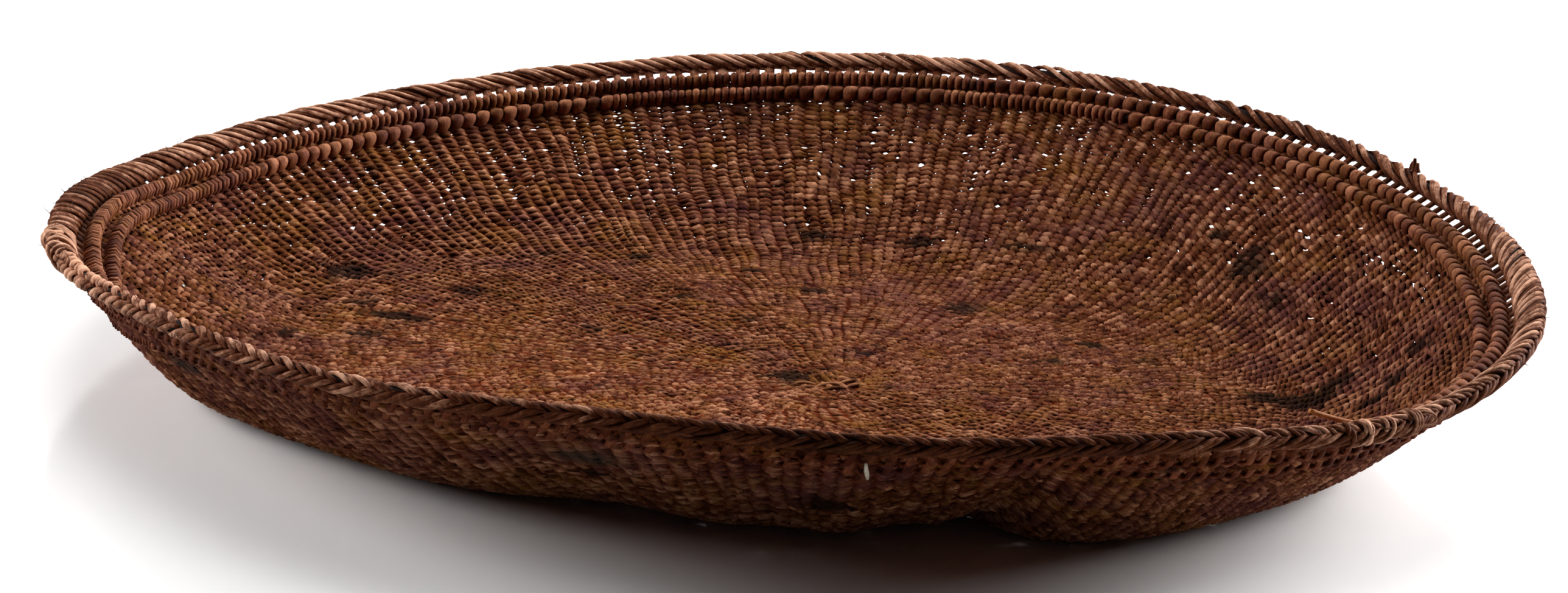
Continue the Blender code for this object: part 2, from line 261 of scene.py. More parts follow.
def strand_mesh(name, runs, sides, columns, painted_shade_sides):
    """One mesh of many strands, with their length and girth as a map, and their values as attributes."""
    counts = np.array([len(r["centres"]) for r in runs])
    starts = np.append(0, np.cumsum(counts))[:-1]
    closed = np.array([r["closed"] for r in runs])
    centres, thick, wide = (np.concatenate([r[key] for r in runs]) for key in ("centres", "thick", "wide"))
    half_thick, half_wide = (np.concatenate([r[key] for r in runs]) for key in ("half_thick", "half_wide"))
    turn = TURN * np.arange(sides) / sides
    across = thick[:, None] * (half_thick[:, None] * np.cos(turn))[..., None]
    across += wide[:, None] * (half_wide[:, None] * np.sin(turn))[..., None]
    vertices = (centres[:, None] + across).reshape(-1, 3)
    here, quads, caps = strand_faces(starts, counts, closed, sides)
    cap_loops = np.concatenate(caps) if caps else np.zeros(0, int)

    mesh = bpy.data.meshes.new(name)
    mesh.vertices.add(len(vertices))
    mesh.vertices.foreach_set("co", vertices.astype(np.float32).ravel())
    mesh.loops.add(quads.size + len(cap_loops))
    mesh.loops.foreach_set("vertex_index", np.concatenate((quads.ravel(), cap_loops)).astype(np.int32))
    mesh.polygons.add(len(quads) + len(caps))
    face_starts = np.concatenate((np.arange(len(quads)) * 4, quads.size + np.arange(len(caps)) * sides))
    mesh.polygons.foreach_set("loop_start", face_starts.astype(np.int32))
    mesh.update(calc_edges=True)
    mesh.shade_smooth()

    girth = np.pi * (half_thick + half_wide)
    for map_name, places in strand_maps(runs, here, counts, girth, sides, columns).items():
        layer = mesh.uv_layers.new(name=map_name, do_init=False)
        padded = np.concatenate((places, np.tile(places[-1:], (len(cap_loops), 1))))
        layer.uv.foreach_set("vector", padded.astype(np.float32).ravel())
    for key in runs[0]["values"]:
        attribute = mesh.attributes.new(key, "FLOAT", "POINT")
        held = np.concatenate([r["values"][key] for r in runs])[:, None] * np.ones(sides)
        # Painted shade on each strand's sides: its crown falls away from the top and bottom of the section
        if key == "crown":
            held = held * (1 - painted_shade_sides * (1 - np.abs(np.cos(turn))))
        attribute.data.foreach_set("value", held.astype(np.float32).ravel())
    return mesh


def piece(name, runs, sides, material, nodes, columns=1, painted_shade_sides=0.6):
    mesh = strand_mesh(name, runs, sides, columns, painted_shade_sides)
    mesh.materials.append(material)
    thing = bpy.data.objects.new(name, mesh)
    bpy.context.scene.collection.objects.link(thing)
    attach(thing, "root")
    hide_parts(*nodes)
    return thing


def srgb(value):
    """One sRGB hex colour as linear values."""
    channels = [int(value[i : i + 2], 16) / 255 for i in (0, 2, 4)]
    linear = [c / 12.92 if c <= 0.04045 else ((c + 0.055) / 1.055) ** 2.4 for c in channels]
    return (*linear, 1.0)


def add(tree, kind, links=None, **settings):
    """Adds one shader node, with its settings and its linked or plain inputs."""
    node = tree.nodes.new("ShaderNode" + kind)
    for key, value in settings.items():
        setattr(node, key, value)
    for socket, source in (links or {}).items():
        if isinstance(source, bpy.types.NodeSocket):
            tree.links.new(source, node.inputs[socket])
        else:
            node.inputs[socket].default_value = source
    return node


def own_colour(tree, patterns, tone, colours, spread, shift):
    """The strand's own shade, by its tone and the patterns on it, and its colour from dark to light."""
    shade = add(tree, "Math", {0: tone, 1: 0.6 * spread}, operation="MULTIPLY").outputs[0]
    for pattern, strength in patterns:
        shade = add(tree, "Math", {0: pattern, 1: strength, 2: shade}, operation="MULTIPLY_ADD").outputs[0]
    shade = add(tree, "MapRange", {0: shade, 1: 0.78 + shift, 2: 1.1 + 0.4 * spread + shift}).outputs[0]
    ramp = add(tree, "ValToRGB", {0: shade})
    ramp.color_ramp.elements[0].color = srgb(colours[0])
    ramp.color_ramp.elements[1].color = srgb(colours[2])
    ramp.color_ramp.elements.new(0.5).color = srgb(colours[1])
    return shade, ramp.outputs["Color"]


def patched(tree, place, moved, colour, patchy):
    """Patches of ochre and of purple brown, in groups about 25 mm across of spots down to 2 mm."""
    tint = add(tree, "Attribute", attribute_name="tint").outputs["Fac"]
    # Coordinates, mm across, roughness, pull of the marked areas, level where full, strength, colour
    for vector, across, roughness, pull, full, strength, patch_colour in (
            (place, 24, 0.78, 0.08, 0.67, 0.72, "8A5C26"), (moved, 30, 0.7, -0.07, 0.68, 0.6, "5C353A")):
        amount = add(tree, "TexNoise", {
            "Vector": vector, "Scale": 1000 / across, "Detail": 5.0, "Roughness": roughness}).outputs["Fac"]
        amount = add(tree, "Math", {0: tint, 1: pull, 2: amount}, operation="MULTIPLY_ADD").outputs[0]
        amount = add(tree, "MapRange", {0: amount, 1: 0.47, 2: full, 4: strength * patchy}).outputs[0]
        colour = add(tree, "Mix", {0: amount, 6: colour, 7: srgb(patch_colour)}, data_type="RGBA").outputs[2]
    return colour


def with_painted_shade_and_spots(tree, moved, colour, patchy):
    """Painted shade where a strand dives between its neighbours and at its sides, and dark spots 2 to 6 mm
    across.
    """
    crown = add(tree, "Attribute", attribute_name="crown").outputs["Fac"]
    # Painted shade: where the crown is low the colour is multiplied by the brown A87452, where it is high it
    # stays
    wear_and_painted_light = add(tree, "MapRange", {0: crown, 1: 0.1, 2: 0.9}).outputs[0]
    painted_shade_tint = add(tree, "Mix", {0: wear_and_painted_light, 6: srgb("A87452"), 7: (1, 1, 1, 1)}, data_type="RGBA").outputs[2]
    painted_shade_colour = add(tree, "Mix", {0: 1.0, 6: colour, 7: painted_shade_tint}, data_type="RGBA", blend_type="MULTIPLY")
    spots = add(tree, "TexNoise", {
        "Vector": moved, "Scale": 1000 / 8, "Detail": 3.0, "Roughness": 0.65}).outputs["Fac"]
    spots = add(tree, "MapRange", {0: spots, 1: 0.575, 2: 0.665, 4: 0.8 * patchy}).outputs[0]
    spotted = add(tree, "Mix", {0: spots, 6: painted_shade_colour.outputs[2], 7: srgb("240F08")}, data_type="RGBA")
    return spotted.outputs[2]


def with_stains(tree, place, shade, colour):
    """Tar and soot, broken up over about 6 mm, with the palest strands left clear, and greenish patches."""
    stain = add(tree, "Attribute", attribute_name="stain").outputs["Fac"]
    broken = add(tree, "TexNoise", {
        "Vector": place, "Scale": 1000 / 6, "Detail": 4.0, "Roughness": 0.75}).outputs["Fac"]
    broken = add(tree, "Math", {0: broken, 1: 2.0, 2: -1.0}, operation="MULTIPLY_ADD").outputs[0]
    tar = add(tree, "Math", {0: broken, 1: stain}).outputs[0]
    tar = add(tree, "Math", {0: shade, 1: -0.45, 2: tar}, operation="MULTIPLY_ADD").outputs[0]
    tar = add(tree, "MapRange", {0: tar, 1: 0.08, 2: 0.55, 4: 0.9}).outputs[0]
    stained = add(tree, "Math", {0: stain, 1: 0.05}, operation="GREATER_THAN").outputs[0]
    tar = add(tree, "Math", {0: tar, 1: stained}, operation="MULTIPLY").outputs[0]
    colour = add(tree, "Mix", {0: tar, 6: colour, 7: srgb("180E0A")}, data_type="RGBA").outputs[2]
    green = add(tree, "MapRange", {0: stain, 1: -0.15, 2: -0.9, 4: 0.6}).outputs[0]
    return add(tree, "Mix", {0: green, 6: colour, 7: srgb("26302A")}, data_type="RGBA").outputs[2]


def plant_fibre(name, dark, middle, light, roughness, patchy=1.0, spread=0.5, shine=0.3):
    """Split shoots and roots, dried and handled: matt, streaked along the strand, with painted shade in
    crevices.
    """
    material = bpy.data.materials.new(name)
    material.use_nodes = True
    tree = material.node_tree
    shader = tree.nodes["Principled BSDF"]
    place = add(tree, "TexCoord").outputs["Object"]
    moved = add(tree, "Mapping", {"Vector": place, "Location": (3.1, 1.7, 0.4)}).outputs["Vector"]
    strand = add(tree, "UVMap", uv_map="strand").outputs["UV"]
    tone = add(tree, "Attribute", attribute_name="tone").outputs["Fac"]

    # Fibres run along the strand: about 0.25 mm wide and 6 mm long
    stretched = add(tree, "Mapping", {"Vector": strand, "Scale": (160, 4000, 1)}).outputs["Vector"]
    streak = add(tree, "TexNoise", {"Vector": stretched, "Scale": 1.0, "Detail": 3.0}).outputs["Fac"]
    # Wear, 1 to 3 mm across
    wear = add(tree, "TexNoise", {
        "Vector": place, "Scale": 1000 / 3, "Detail": 4.0, "Roughness": 0.75}).outputs["Fac"]
    # Handling marks, lighter and darker, about 7 to 14 mm across
    blotch = add(tree, "TexNoise", {
        "Vector": moved, "Scale": 1000 / 14, "Detail": 3.0, "Roughness": 0.6}).outputs["Fac"]
    patterns = ((streak, 0.7), (wear, 0.95), (blotch, 0.6 * patchy))
    shade, colour = own_colour(tree, patterns, tone, (dark, middle, light), spread, shift=0.3 * patchy)
    colour = patched(tree, place, moved, colour, patchy)
    colour = with_painted_shade_and_spots(tree, moved, colour, patchy)
    colour = with_stains(tree, place, shade, colour)
    tree.links.new(colour, shader.inputs["Base Color"])
    rough = add(tree, "MapRange", {0: streak, 1: 0.3, 2: 0.7, 3: roughness - 0.08, 4: roughness + 0.1})
    tree.links.new(rough.outputs[0], shader.inputs["Roughness"])
    shader.inputs["Specular IOR Level"].default_value = shine
    bump = add(tree, "Bump", {"Height": streak, "Strength": 0.6, "Distance": 0.12 * MM})
    tree.links.new(bump.outputs["Normal"], shader.inputs["Normal"])
    return material


def row_shares():
    """Weft rows from the start knot's middle up to the lower hoop."""
    shares = np.linspace(0, share_in_from_rim(LOWER_HOOP_IN - 0.4 * MM), 1200)
    angles = TURN * np.arange(36) / 36
    points = uncentred(shares[:, None] + 0 * angles, angles + 0 * shares[:, None])
    steps = np.linalg.norm(np.diff(points, axis=0), axis=-1).mean(1)
    rows = np.append(0, np.cumsum(steps / np.interp(shares[1:], *ROW_PITCH)))
    return np.interp(rows[-1] - np.arange(int(rows[-1] - 1.5))[::-1], rows, shares)


def warp_births():
    """Share at which each warp is laid in. Opposite warps start alike, so each row has an even number."""
    births = np.zeros(WARPS // 2)
    for index in range(WARPS // 2):
        if index % 16 == 8:
            births[index] = DRAW.uniform(0.025, 0.035)
        elif index % 8 == 4:
            births[index] = DRAW.uniform(0.06, 0.09)
        elif index % 4 == 2:
            births[index] = DRAW.uniform(0.13, 0.21)
        elif index % 2 == 1:
            births[index] = DRAW.uniform(0.26, 0.46)
    return np.tile(births, 2)


BIRTHS = warp_births()
WARP_SHIFTS = WARP_PITCH * DRAW.uniform(-0.13, 0.13, WARPS)
WARP_WAVES = DRAW.uniform(6, 22, WARPS)
WARP_STARTS = DRAW.uniform(0, TURN, WARPS)


def warp_angle(index, share):
    """Angle of a warp, which wanders a little on its way out."""
    sway = 0.08 + 1.1 * np.clip(1 - share / 0.42, 0, 1) ** 1.5
    wander = sway * np.sin(WARP_WAVES[index] * share + WARP_STARTS[index])
    return WARP_PITCH * (index + wander) + WARP_SHIFTS[index]


# How readily light comes through beside each warp: nearly a third of the gaps are much looser
LOOSE_GAPS = DRAW.uniform(0.15, 0.7, WARPS) + 1.2 * (DRAW.uniform(size=WARPS) < 0.3)

# Worn through: share of the way to the rim, degrees, half width in degrees, chance
WORN_THROUGH = (
    (0.868, 156, 4, 0.9), (0.766, 152.8, 4, 0.9), (0.92, 168, 9, 0.5), (0.862, 172, 6, 0.6),
    (0.888, 148, 5, 0.5), (0.87, 23.5, 5, 0.9), (0.858, 37, 6, 0.6), (0.881, 12, 6, 0.7),
    (0.795, 17, 6, 0.5), (0.88, 352, 4, 0.7))


def chance_of_pinhole(share, angle):
    """The upper wall lets light through, mostly at the back left, and more along some warps than others."""
    height = np.clip((share - 0.64) / 0.16, 0, 1)
    places = 0.42 * near(angle, 118, 28) + 1.1 * near(angle, 156, 21) + 0.14 * near(angle, 84, 22)
    places = places + 0.08 * near(angle, 45, 20) + 0.14 * near(angle, 12, 14)
    wear_and_painted_light = sum(chance * near(angle, degrees, wide) * math.exp(-(((share - place) / 0.014) ** 2))
               for place, degrees, wide, chance in WORN_THROUGH)
    beside_hoop = math.exp(-(((share - 0.916) / 0.006) ** 2))
    parted = near(angle, 135, 6) + near(angle, 101, 3) + near(angle, 91, 3) + near(angle, 168, 5)
    return height * (0.01 + np.minimum(places * LOOSE_GAPS, 0.55)) + wear_and_painted_light + 0.8 * beside_hoop * parted


DRIFT_WAVES = DRAW.normal(0, TURN / (75 * MM), (14, 2))
DRIFT_STARTS = DRAW.uniform(0, TURN, 14)


def woven(share, angle):
    """Like tray, but pushed about a little in its own surface, as hand work and long use leave it."""
    point, out, up, along = tray(share, angle)
    waves = np.sin(point[:, :2] @ DRIFT_WAVES.T + DRIFT_STARTS)
    calm = np.clip((0.93 - share) / 0.1, 0, 1)
    outwards = waves[:, :7].sum(1) * 0.85 * MM * calm
    sideways = waves[:, 7:].sum(1) * 0.6 * MM * calm
    return point + out * outwards[:, None] + along * sideways[:, None], out, up, along


def weft_row(share, spacing, holes_below, holes_above):
    """Both strands of a twined row. Holes are given per warp, and open where the strands cross beyond it."""
    active = np.flatnonzero(BIRTHS <= share)
    warps = warp_angle(active, share)
    # Worn and matted at the left end and the front
    matted = (near(warps, 188, 42) + near(warps, 270, 30)) * np.clip(4 * (0.97 - share), 0, 1)
    warps = warps + 0.24 * WARP_PITCH * matted * np.clip(DRAW.normal(0, 1, len(active)), -2, 2)
    following = np.append(warps[1:], warps[0] + TURN)
    parts = np.arange(STEPS_PER_STITCH) / STEPS_PER_STITCH
    stitches = len(active)
    place = (np.arange(stitches)[:, None] + parts).ravel()
    angle = (warps[:, None] + (following - warps)[:, None] * parts).ravel()
    outer_side, inner_side = (woven(share + step * spacing, angle)[0] for step in (0.5, -0.5))
    pitch = np.linalg.norm(outer_side - inner_side, axis=1)
    ragged = np.interp(share, (0, 0.5, 0.8), (2.6, 2.2, 1)) + 1.6 * matted
    worn_flat = (np.interp(share, (0, 0.5, 0.68), (0.7, 0.75, 1)) - 0.36 * matted).repeat(STEPS_PER_STITCH)
    wobble = 0.22 * smooth_noise(angle, (3, 70)) + DRAW.normal(0, 0.13, stitches).repeat(STEPS_PER_STITCH)
    wobble = wobble * ragged.repeat(STEPS_PER_STITCH) * MM
    point, out, up, _ = woven(share, angle)
    at_crossing = np.sin(math.pi * parts) ** 2
    below = (holes_below[active][:, None] * at_crossing).ravel()
    above = (holes_above[active][:, None] * at_crossing).ravel()
    slack = np.maximum(below, above)
    wobble = wobble + 0.5 * MM * (below - above)
    marks = stain_at(point, STAINS) - stain_at(point, GREEN_STAINS)
    tint = stain_at(point, OCHRE_PATCHES) - stain_at(point, MAUVE_PATCHES)
    # Painted shade in the dips between rows, through each strand's crown: deeper on the floor than on the
    # wall
    crevice = np.interp(share, (0.5, 0.72), (1.25, 0.85))
    contrast = np.interp(share, (0.5, 0.75), (0.6, 0.8))
    # Painted light at the front and left of the floor, painted shade on the outer side at the front
    paler = (0.12 * near(angle, 250, 45) + 0.1 * near(angle, 178, 30)) * np.clip(4 * (0.9 - share), 0, 1)
    darker = 0.3 * near(angle, 285, 26) * np.clip(5 * (share - 0.72), 0, 1)
    strands = []
    half_turn = math.pi * DRAW.integers(2)
    for strand in (0, 1):
        phase = math.pi * (place + strand) + half_turn
        high, low = np.cos(phase), np.sin(phase)
        flat = (DRAW.uniform(size=stitches) < 0.05 * ragged).repeat(STEPS_PER_STITCH)
        seat = np.minimum(DRAW.normal(1, 0.12 * ragged, stitches), 1.15).repeat(STEPS_PER_STITCH)
        seat = (seat - 0.55 * flat) * worn_flat * np.abs(high) ** 0.3
        twist = WEFT_TWIST * (1 - 0.45 * slack)
        rise = high * WEFT_RISE * seat * (1 - 0.35 * slack)
        centres = point + up * rise[:, None] + out * (low * twist + wobble)[:, None]
        thick = up + out * (0.35 * high * low)[:, None]
        tone = 0.5 + contrast * (DRAW.uniform(0, 1, stitches).repeat(STEPS_PER_STITCH) - 0.5)
        tone = tone + paler - darker
        splice = DRAW.uniform(0, 1, stitches // 24 + 2)[(place // 24).astype(int)]
        width = np.maximum(DRAW.normal(1, 0.08, stitches), 0.88).repeat(STEPS_PER_STITCH)
        half_wide = pitch * WEFT_HALF_WIDE * width * (1 - 0.08 * low**2) * (1 - 0.55 * slack)
        crown = 1 - (1 - np.abs(high) * (1 - 0.5 * flat)) * crevice
        strands.append(run(centres, thick, WEFT_HALF_THICK * (1 - 0.3 * slack), half_wide, closed=True,
                           tone=0.75 * tone + 0.25 * splice, crown=crown, stain=marks, tint=tint))
    return strands


def make_weft(material):
    """Rows from the start knot to the lower hoop, in eleven pieces."""
    bands = (("start_knot_rows", "start_knot", 1), ("floor_rows_inner", "floor_weft_inner", 1),
             ("floor_rows_outer", "floor_weft_outer", 2), ("wall_rows_lower", "wall_weft_lower", 3),
             ("wall_rows_upper", "wall_weft_upper", 4))
    width = (RIM_RADIUS - WALL_TOP_IN - START_KNOT_RADIUS) / 4
    shares = row_shares()
    spacings = np.gradient(shares)
    holes = np.zeros(WARPS)
    angle = WARP_PITCH * np.arange(WARPS)
    for index, (name, node, parts) in enumerate(bands):
        inner = START_KNOT_RADIUS + width * (index - 1) if index else 0
        outer = START_KNOT_RADIUS + width * index if index < 4 else RIM_RADIUS
        rows = np.flatnonzero((shares * RIM_RADIUS >= inner) & (shares * RIM_RADIUS < outer))
        for part, chosen in enumerate(np.array_split(rows, parts)):
            runs = []
            for row in chosen:
                chance = chance_of_pinhole(shares[row], angle)
                usual = 1 + 0.2 * np.clip(chance, 0, 1) - 0.16 * near(angle, 100, 28)
                wide = DRAW.uniform(0.55, 1.1, WARPS) * usual
                above = (DRAW.uniform(size=WARPS) < chance) * wide
                runs += weft_row(shares[row], spacings[row], holes, above)
                holes = above
            piece(f"{name}_{part + 1}", runs, 5, material, [node], painted_shade_sides=0.35)


def make_rows_between_hoops(material):
    """Three more twined rows, seen as a dark line between the two hoops, with a few holes."""
    angle = WARP_PITCH * np.arange(WARPS)
    open_part = np.maximum(near(angle, 97, 7), near(angle, 143, 16)) > 0.5
    holes = open_part * DRAW.uniform(0.7, 1.3, WARPS) + (DRAW.uniform(size=WARPS) < 0.05)
    step = (LOWER_HOOP_IN - UPPER_HOOP_IN) / 3
    runs = []
    for row in (0.85, 1.95, 3):
        share = share_in_from_rim(LOWER_HOOP_IN - 0.2 * MM - row * step)
        runs += weft_row(share, 1.2 * step / RIM_RADIUS, holes, holes)
    piece("rows_between_hoops", runs, 5, material, ["upper_lashing"])


def roll_inwards(angle):
    """How far the middle of the roll lies in from the rim line. It is wide at the left and right ends."""
    left_end = 2.3 * near(angle, 168, 30) + 0.9 * near(angle, 184, 14)
    return (0.5 + 0.5 * near(angle, 80, 30) + left_end + 2.6 * near(angle, 350, 22)) * MM


def rim_path(angle, turn, lift):
    """Points on the rim's roll, turned from outwards over the top in radians, and directions out of it."""
    point, out, up, _ = tray(1, angle)
    inwards = roll_inwards(angle)
    across = lift + inwards
    centre = point - out * inwards[:, None]
    # Pressed thinner at the front and the back right
    lift = lift * (1 - 0.15 * near(angle, 272, 32) - 0.17 * near(angle, 52, 30))
    points = centre + out * (np.cos(turn) * across)[:, None] + up * (np.sin(turn) * lift)[:, None]
    return points, unit(out * (np.cos(turn) / across)[:, None] + up * (np.sin(turn) / lift)[:, None])


def rim_strand_run(start_angle, steps, turn, lift, half_wide, half_thick, tone, crown):
    """One strand over or under the roll. Steps are in warp pitches, turns in degrees and sizes in mm."""
    sweep = (1 - 0.15 * near(start_angle, 175, 30)) * DRAW.normal(1, 0.07)
    rough = 1 + 1.2 * near(start_angle, 70, 12) + 1.3 * near(start_angle, 38, 26)
    turn = np.radians(turn + DRAW.normal(0, 4.5) * rough)
    uneven = 0.4 * near(start_angle, 110, 60) * math.sin(37 * start_angle + 3 * math.sin(5 * start_angle))
    lift = (lift + uneven + DRAW.normal(0, 0.14) * rough) * MM
    angle = start_angle + (steps * sweep + DRAW.normal(0, 0.09) * rough) * WARP_PITCH
    centres, thick = rim_path(angle, turn, lift)
    broader = 1 + 0.35 * near(start_angle, 160, 24) + 0.5 * near(start_angle, 355, 28)
    wide = half_wide * DRAW.normal(1, 0.1) * broader * MM
    return run(centres, thick, half_thick * MM, wide, tone=tone, crown=crown, stain=0)


def rim_tone(angle):
    """Painted light at the front left and right end, painted shade at the front middle, paler at the back.
    """
    wear_and_painted_light = 0.35 * near(angle, 201, 14) + 0.08 * near(angle, 228, 24) + 0.08 * near(angle, 338, 20)
    wear_and_painted_light = wear_and_painted_light + 0.2 * near(angle, 92, 40)
    # Painted shade at the front middle; the back left end and the back right are darker too
    shaded = 0.28 * near(angle, 274, 20) + 0.35 * near(angle, 172, 18) + 0.3 * near(angle, 42, 30)
    return np.clip(0.42 + wear_and_painted_light - shaded + DRAW.uniform(-0.2, 0.2), 0, 1)


def openness(angle):
    """How clear the holes between bare warps are: most at the back and front left, least at the left."""
    wide_open = 0.8 * near(angle, 109, 6) + 0.5 * near(angle, 140, 12) + 0.9 * near(angle, 25, 17)
    wide_open = wide_open + 0.9 * near(angle, 235, 35) + 0.6 * near(angle, 62, 16)
    return np.clip(0.3 + wide_open - 0.5 * near(angle, 178, 12) + DRAW.normal(0, 0.2), 0, 1)


def bare_warp_bar(start_angle, tone):
    """The bare part of a warp, flattened where it leans into the roll."""
    distance = np.linspace(WALL_TOP_IN - 1 * MM, 2 * roll_inwards(start_angle) + 0.8 * MM, 6)
    angle = start_angle + np.linspace(0, -0.35, 6) * WARP_PITCH
    points, _, up, _ = tray(share_in_from_rim(distance), angle)
    half_wide = np.array((1.4, 1.4, 1.4, 1, 1, 0.9)) * MM
    half_wide[3:] *= 2.75 - openness(start_angle)
    # Crown 0.6: some painted shade among the hoops and roll
    return run(points, up, BARE_WARP_HALF_THICK, half_wide, tone=tone, crown=0.6, stain=0)


def over_strand(start_angle, tone):
    """A warp end that sweeps from the roll's inner side over its top and dives into it."""
    steps = np.linspace(0, 3.5, 16)
    stages = (0, 0.6, 1.6, 2.9, 3.5)
    # Painted highlight over the roll's top and painted shade where the strand dives in, in both tone and
    # crown
    return rim_strand_run(
        start_angle, steps, 184 - 36 * steps - 6 * steps**2,
        lift=np.interp(steps, stages, (2.2, 2.85, 3.1, 2.9, 1.6)),
        half_wide=np.interp(steps, stages, (0.95, 0.95, 1, 1, 0.55)),
        half_thick=np.interp(steps, stages, (0.8, 0.9, 0.9, 0.85, 0.5)),
        tone=tone + np.interp(steps, stages, (-0.3, 0, 0.35, 0.25, -0.3)),
        crown=np.interp(steps, stages, (0.4, 0.8, 1, 0.95, 0.2)))


def filling_strand(start_angle, tone):
    """A deeper strand that closes the roll between two of those."""
    steps = np.linspace(0.3, 3.6, 13)
    lift = np.interp(steps, (0.3, 1, 3, 3.6), (1.6, 2.6, 2.8, 1.4))
    # Painted shade: its tone is a tenth darker and its crown lower than the strands above it
    return rim_strand_run(start_angle, steps, 184 - 36 * steps - 6 * steps**2, lift,
                          np.full(13, 0.95), 0.8, 0.9 * tone, 0.85)


def under_strand(start_angle, tone, drop, shade):
    """A strand of the outer side, from below the roll up to its top, deeper by drop and darker by shade, a
    painted shade.
    """
    steps = np.linspace(0, 3.2, 13)
    stages = (0, 0.6, 1.6, 2.6, 3.2)
    # Painted shade below the roll, growing paler towards its top
    return rim_strand_run(
        start_angle, steps, -162 + 41 * steps + 3 * steps**2,
        lift=np.interp(steps, stages, (1.5, 2.75, 3.0, 2.85, 1.6)) - drop,
        half_wide=np.interp(steps, stages, (0.8, 0.95, 1, 0.95, 0.55)),
        half_thick=0.85,
        tone=shade * tone + 0.06 * steps - 0.1,
        crown=np.interp(steps, stages, (0.2, 0.8, 1, 0.9, 0.2)) * (0.4 + 0.6 * shade))


def make_rim(material):
    """Each bare warp leaves the hoops, leans into the roll, sweeps over it and dives back into it."""
    bars, over, fill, under = [], [], [], []
    for warp in range(WARPS):
        start_angle = warp_angle(warp, 0.95)
        tone = rim_tone(start_angle)
        bars.append(bare_warp_bar(start_angle, tone))
        over.append(over_strand(start_angle - 0.35 * WARP_PITCH, tone))
        fill.append(filling_strand(start_angle + 0.15 * WARP_PITCH, tone))
        under.append(under_strand(start_angle + 0.2 * WARP_PITCH, tone, 0, 1))
        # A second, deeper strand of the outer side, darkened as painted shade
        fill.append(under_strand(start_angle + 0.7 * WARP_PITCH, tone, 0.25, 0.8))
    piece("bare_warp_bars", bars, 6, material, ["bare_warps"], 8)
    piece("rim_plait_over_strands", over, 8, material, ["rim_plait"], 8, 0.55)
    piece("rim_plait_under_strands", under, 8, material, ["rim_plait"], 8, 0.6)
    piece("rim_plait_inner_layer", fill, 4, material, ["rim_plait"], 8)


def make_rim_core(material):
    """Filling of the roll in near-black painted shade, which closes the gaps between its strands."""
    angle = TURN * np.arange(720) / 720
    inner_edge, _ = rim_path(angle, np.full(720, math.pi), np.full(720, 1.1 * MM))
    outer_edge, _ = rim_path(angle, np.zeros(720), np.full(720, 1.1 * MM))
    _, _, up, _ = tray(1, angle)
    reach = np.linalg.norm(outer_edge - inner_edge, axis=1) / 2 + 0.4 * MM
    core = run((inner_edge + outer_edge) / 2, up, 2.0 * MM, reach, closed=True, tone=0.3, crown=0.2, stain=0)
    piece("rim_plait_core", [core], 8, material, ["rim_plait"])


def make_warps(material):
    """Warps inside the weave, from where each is laid in to the foot of the openwork."""
    runs = []
    last = share_in_from_rim(WALL_TOP_IN - 1.5 * MM)
    for index, birth in enumerate(BIRTHS):
        first = max(birth, 0.012)
        share = np.linspace(first, last, max(4, int((last - first) * 46)))
        point, _, up, _ = woven(share, warp_angle(index, share))
        tone = DRAW.uniform()
        # Crown 0.35: painted shade, as the warps lie deep in the weave
        runs.append(run(point, up, WARP_HALF_THICK, WARP_HALF_WIDE, tone=tone, crown=0.35, stain=0))
    piece("warps_in_weave", runs, 4, material, ["floor_weft_inner"], 8)


def wrapping_run(share, doubled):
    """One strand round rod and warp, in a whole number of turns, twice as many on the doubled stretches."""
    steps = 16
    total = WARPS * steps
    base = np.arange(total) / steps
    degrees = base / WARPS * 360
    rate = np.ones(total)
    for low, high in doubled:
        rate[(degrees > low) & (degrees < high)] = 2
    turns = np.append(0, np.cumsum(rate)) / steps
    turns = (turns * round(turns[-1]) / turns[-1])[:-1]
    loop = TURN * turns
    # The strand crosses the rod steeply on the inner side, and moves on behind it
    place = base + 0.45 / rate * np.cos(loop) / TURN
    point, out, up, along = tray(share, place * WARP_PITCH)
    which_turn = (turns + 0.25).astype(int)
    bead = np.minimum(DRAW.normal(1, 0.07, WARPS * 2 + 2), 1.07)[which_turn]
    top = WARP_THICKNESS / 2 + GAP + HOOP_DIAMETER - 0.7 * MM
    bottom = -(WARP_THICKNESS / 2 + 1.5 * MM)
    middle, reach = (top + bottom) / 2, (top - bottom) / 2
    inner_side = np.sin(loop) * 0.5 + 0.5
    side_reach = WRAP_REACH * (0.85 + 0.15 * inner_side) * bead
    sideways = side_reach * np.cos(loop)
    height = middle + reach * np.sin(loop) * bead
    centres = point + out * sideways[:, None] + up * height[:, None]
    thick = out * (np.cos(loop) / side_reach)[:, None] + up * (np.sin(loop) / reach)[:, None]
    half_wide = (1.4 + 1.6 * inner_side**0.8) * MM / rate
    half_thick = (0.6 + 0.35 * inner_side) * MM
    tone = DRAW.uniform(0.2, 0.9, WARPS * 2 + 2)[which_turn]
    # Painted shade where the strand passes behind rod and warp, through a lower crown
    wrap = run(centres, thick, half_thick, half_wide, closed=True, tone=tone,
               crown=0.35 + 0.65 * inner_side, stain=0)
    wrap["wide"] = unit(along - wrap["thick"] * (along * wrap["thick"]).sum(-1, keepdims=True))
    return wrap


